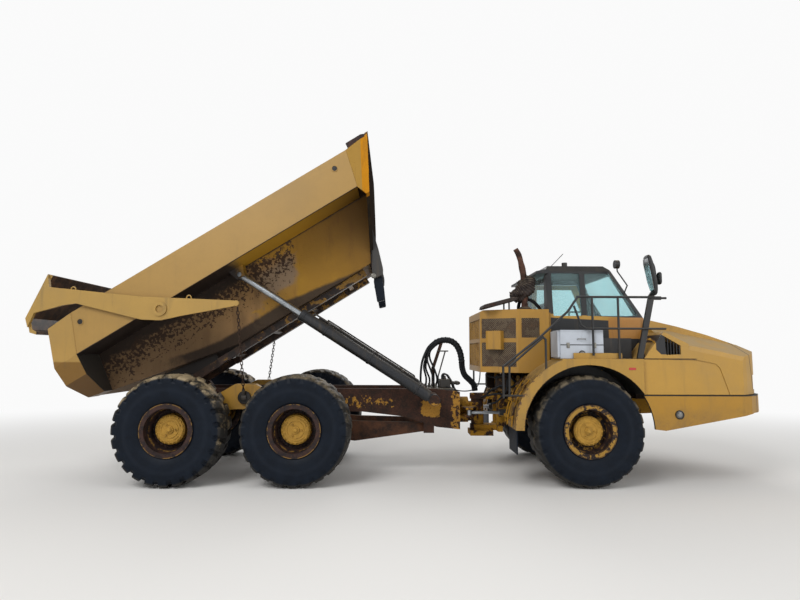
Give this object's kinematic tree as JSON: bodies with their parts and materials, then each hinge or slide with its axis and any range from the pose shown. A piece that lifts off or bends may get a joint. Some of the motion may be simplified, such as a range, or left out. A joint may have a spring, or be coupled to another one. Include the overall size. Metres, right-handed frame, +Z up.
{
  "type": "articulated dump truck",
  "caption": "Six-wheel articulated dump truck with a centre cab, tipped dump body and open scissor tailgate; steers at its frame pivot.",
  "frame": {"origin": "on the ground under the centre of the whole truck's box", "axes": "+X runs forward, +Y to the truck's left, +Z up"},
  "size_m": [11.8516, 3.5034, 5.7403],
  "materials": {
    "paint": "weathered",
    "tan_paint": "weathered",
    "rusty_steel": "rusty",
    "dark_steel": "weathered",
    "rod_chrome": "polished",
    "tyre_rubber": "worn",
    "rubber": "matte",
    "glass": "clear",
    "cab_black": "satin",
    "grille_black": "matte",
    "white_paint": "dusty",
    "seat_fabric": "worn",
    "cast_iron": "rough"
  },
  "bodies": {
    "front_unit": {"front_frame": "rusty_steel", "front_axle": "cast_iron", "engine_block": "cast_iron", "fenders": "paint", "mudflaps": "rubber", "bumper": "paint", "cab_shell": "cab_black", "cab_glass": "glass", "cab_seat": "seat_fabric", "cooler_housing": "paint", "exhaust_stack": "rusty_steel", "handrails": "paint", "mirrors": "cab_black", "tool_box": "white_paint"},
    "hood": {"hood": "paint", "front_grille": "grille_black"},
    "cab_door": {"cab_door": "paint", "door_glass": "glass"},
    "steer_barrel_left": {"steer_barrel_left": "dark_steel"},
    "steer_barrel_right": {"steer_barrel_right": "dark_steel"},
    "steer_rod_left": {"steer_rod_left": "rod_chrome"},
    "steer_rod_right": {"steer_rod_right": "rod_chrome"},
    "hitch": {"hitch_casting": "cast_iron"},
    "rear_unit": {"rear_frame": "rusty_steel", "rear_axles": "cast_iron", "walking_beams": "paint", "hose_bundle": "rubber"},
    "hoist_barrels": {"hoist_barrels": "dark_steel"},
    "hoist_rods": {"hoist_rods": "rod_chrome"},
    "dump_body": {"body_shell": "rusty_steel", "body_rails": "tan_paint", "front_wall": "rusty_steel", "tail_band": "tan_paint", "body_flap": "rubber"},
    "tailgate": {"tailgate": "tan_paint"},
    "gate_chains": {"gate_chains": "rusty_steel"},
    "wheel_front_left": {"tyre_front_left": "tyre_rubber", "rim_front_left": "paint"},
    "wheel_front_right": {"tyre_front_right": "tyre_rubber", "rim_front_right": "paint"},
    "wheel_mid_left": {"tyre_mid_left": "tyre_rubber", "rim_mid_left": "rusty_steel"},
    "wheel_mid_right": {"tyre_mid_right": "tyre_rubber", "rim_mid_right": "rusty_steel"},
    "wheel_rear_left": {"tyre_rear_left": "tyre_rubber", "rim_rear_left": "rusty_steel"},
    "wheel_rear_right": {"tyre_rear_right": "tyre_rubber", "rim_rear_right": "rusty_steel"}
  },
  "joints": [
    {"name": "steer", "type": "hinge", "parent": "front_unit", "child": "hitch", "pos_m": [1.36581, 0, 1.05], "axis": [0, 0, 1], "range_deg": [-45, 45]},
    {"name": "frame_roll", "type": "hinge", "parent": "hitch", "child": "rear_unit", "pos_m": [1.06581, 0, 1.05], "axis": [-1, 0, 0], "range_deg": [-10, 10]},
    {"name": "body_tip", "type": "hinge", "parent": "rear_unit", "child": "dump_body", "pos_m": [-3.84419, 0, 1.57], "axis": [0, -1, 0], "range_deg": [-32, 38]},
    {"name": "tailgate_lift", "type": "hinge", "parent": "dump_body", "child": "tailgate", "pos_m": [-3.84132, 0, 2.74861], "axis": [0, 1, 0], "range_deg": [-26.86, 31.84]},
    {"name": "chain_swing", "type": "hinge", "parent": "rear_unit", "child": "gate_chains", "pos_m": [-2.68719, 0, 1.39], "axis": [0, -1, 0], "range_deg": [-28.63, 33.95]},
    {"name": "hoist_swing", "type": "hinge", "parent": "rear_unit", "child": "hoist_barrels", "pos_m": [0.50581, 0, 1.3], "axis": [0, 1, 0], "range_deg": [-6.3, 7.42]},
    {"name": "hoist_stroke", "type": "slide", "parent": "hoist_barrels", "child": "hoist_rods", "axis": [-0.8444, 0, 0.5357], "range_m": [-1.1125, 1.3201]},
    {"name": "hood_tilt", "type": "hinge", "parent": "front_unit", "child": "hood", "pos_m": [5.88181, 0, 1.447], "axis": [0, 1, 0], "range_deg": [0, 60]},
    {"name": "cab_door_swing", "type": "hinge", "parent": "front_unit", "child": "cab_door", "pos_m": [2.61781, 0.92, 2.7], "axis": [0, 0, 1], "range_deg": [0, 80]},
    {"name": "steer_swing_left", "type": "hinge", "parent": "front_unit", "child": "steer_barrel_left", "pos_m": [2.66581, 0.43, 1.05], "axis": [0, 0, 1], "range_deg": [-6.49, 6.49]},
    {"name": "steer_stroke_left", "type": "slide", "parent": "steer_barrel_left", "child": "steer_rod_left", "axis": [-0.9964, 0.0852, 0], "range_m": [-0.4023, 0.4023]},
    {"name": "steer_swing_right", "type": "hinge", "parent": "front_unit", "child": "steer_barrel_right", "pos_m": [2.66581, -0.43, 1.05], "axis": [0, 0, 1], "range_deg": [-6.49, 6.49]},
    {"name": "steer_stroke_right", "type": "slide", "parent": "steer_barrel_right", "child": "steer_rod_right", "axis": [-0.9964, -0.0852, 0], "range_m": [-0.4023, 0.4023]},
    {"name": "wheel_front_left_spin", "type": "hinge", "parent": "front_unit", "child": "wheel_front_left", "pos_m": [2.88581, 1.31, 0.868], "axis": [0, 1, 0], "continuous": true},
    {"name": "wheel_front_right_spin", "type": "hinge", "parent": "front_unit", "child": "wheel_front_right", "pos_m": [2.88581, -1.31, 0.868], "axis": [0, 1, 0], "continuous": true},
    {"name": "wheel_mid_left_spin", "type": "hinge", "parent": "rear_unit", "child": "wheel_mid_left", "pos_m": [-1.70419, 1.31, 0.868], "axis": [0, 1, 0], "continuous": true},
    {"name": "wheel_mid_right_spin", "type": "hinge", "parent": "rear_unit", "child": "wheel_mid_right", "pos_m": [-1.70419, -1.31, 0.868], "axis": [0, 1, 0], "continuous": true},
    {"name": "wheel_rear_left_spin", "type": "hinge", "parent": "rear_unit", "child": "wheel_rear_left", "pos_m": [-3.67019, 1.31, 0.868], "axis": [0, 1, 0], "continuous": true},
    {"name": "wheel_rear_right_spin", "type": "hinge", "parent": "rear_unit", "child": "wheel_rear_right", "pos_m": [-3.67019, -1.31, 0.868], "axis": [0, 1, 0], "continuous": true}
  ],
  "couplings": [
    {"joint": "tailgate_lift", "follows": "body_tip", "ratio": 0.83},
    {"joint": "chain_swing", "follows": "body_tip", "ratio": 0.8855},
    {"joint": "hoist_swing", "follows": "body_tip", "ratio": 0.1875},
    {"joint": "hoist_stroke", "follows": "body_tip", "m_per_rad": 1.9829},
    {"joint": "steer_swing_left", "follows": "steer", "ratio": 0.1377},
    {"joint": "steer_stroke_left", "follows": "steer", "m_per_rad": 0.5059},
    {"joint": "steer_swing_right", "follows": "steer", "ratio": 0.1377},
    {"joint": "steer_stroke_right", "follows": "steer", "m_per_rad": -0.5059}
  ]
}
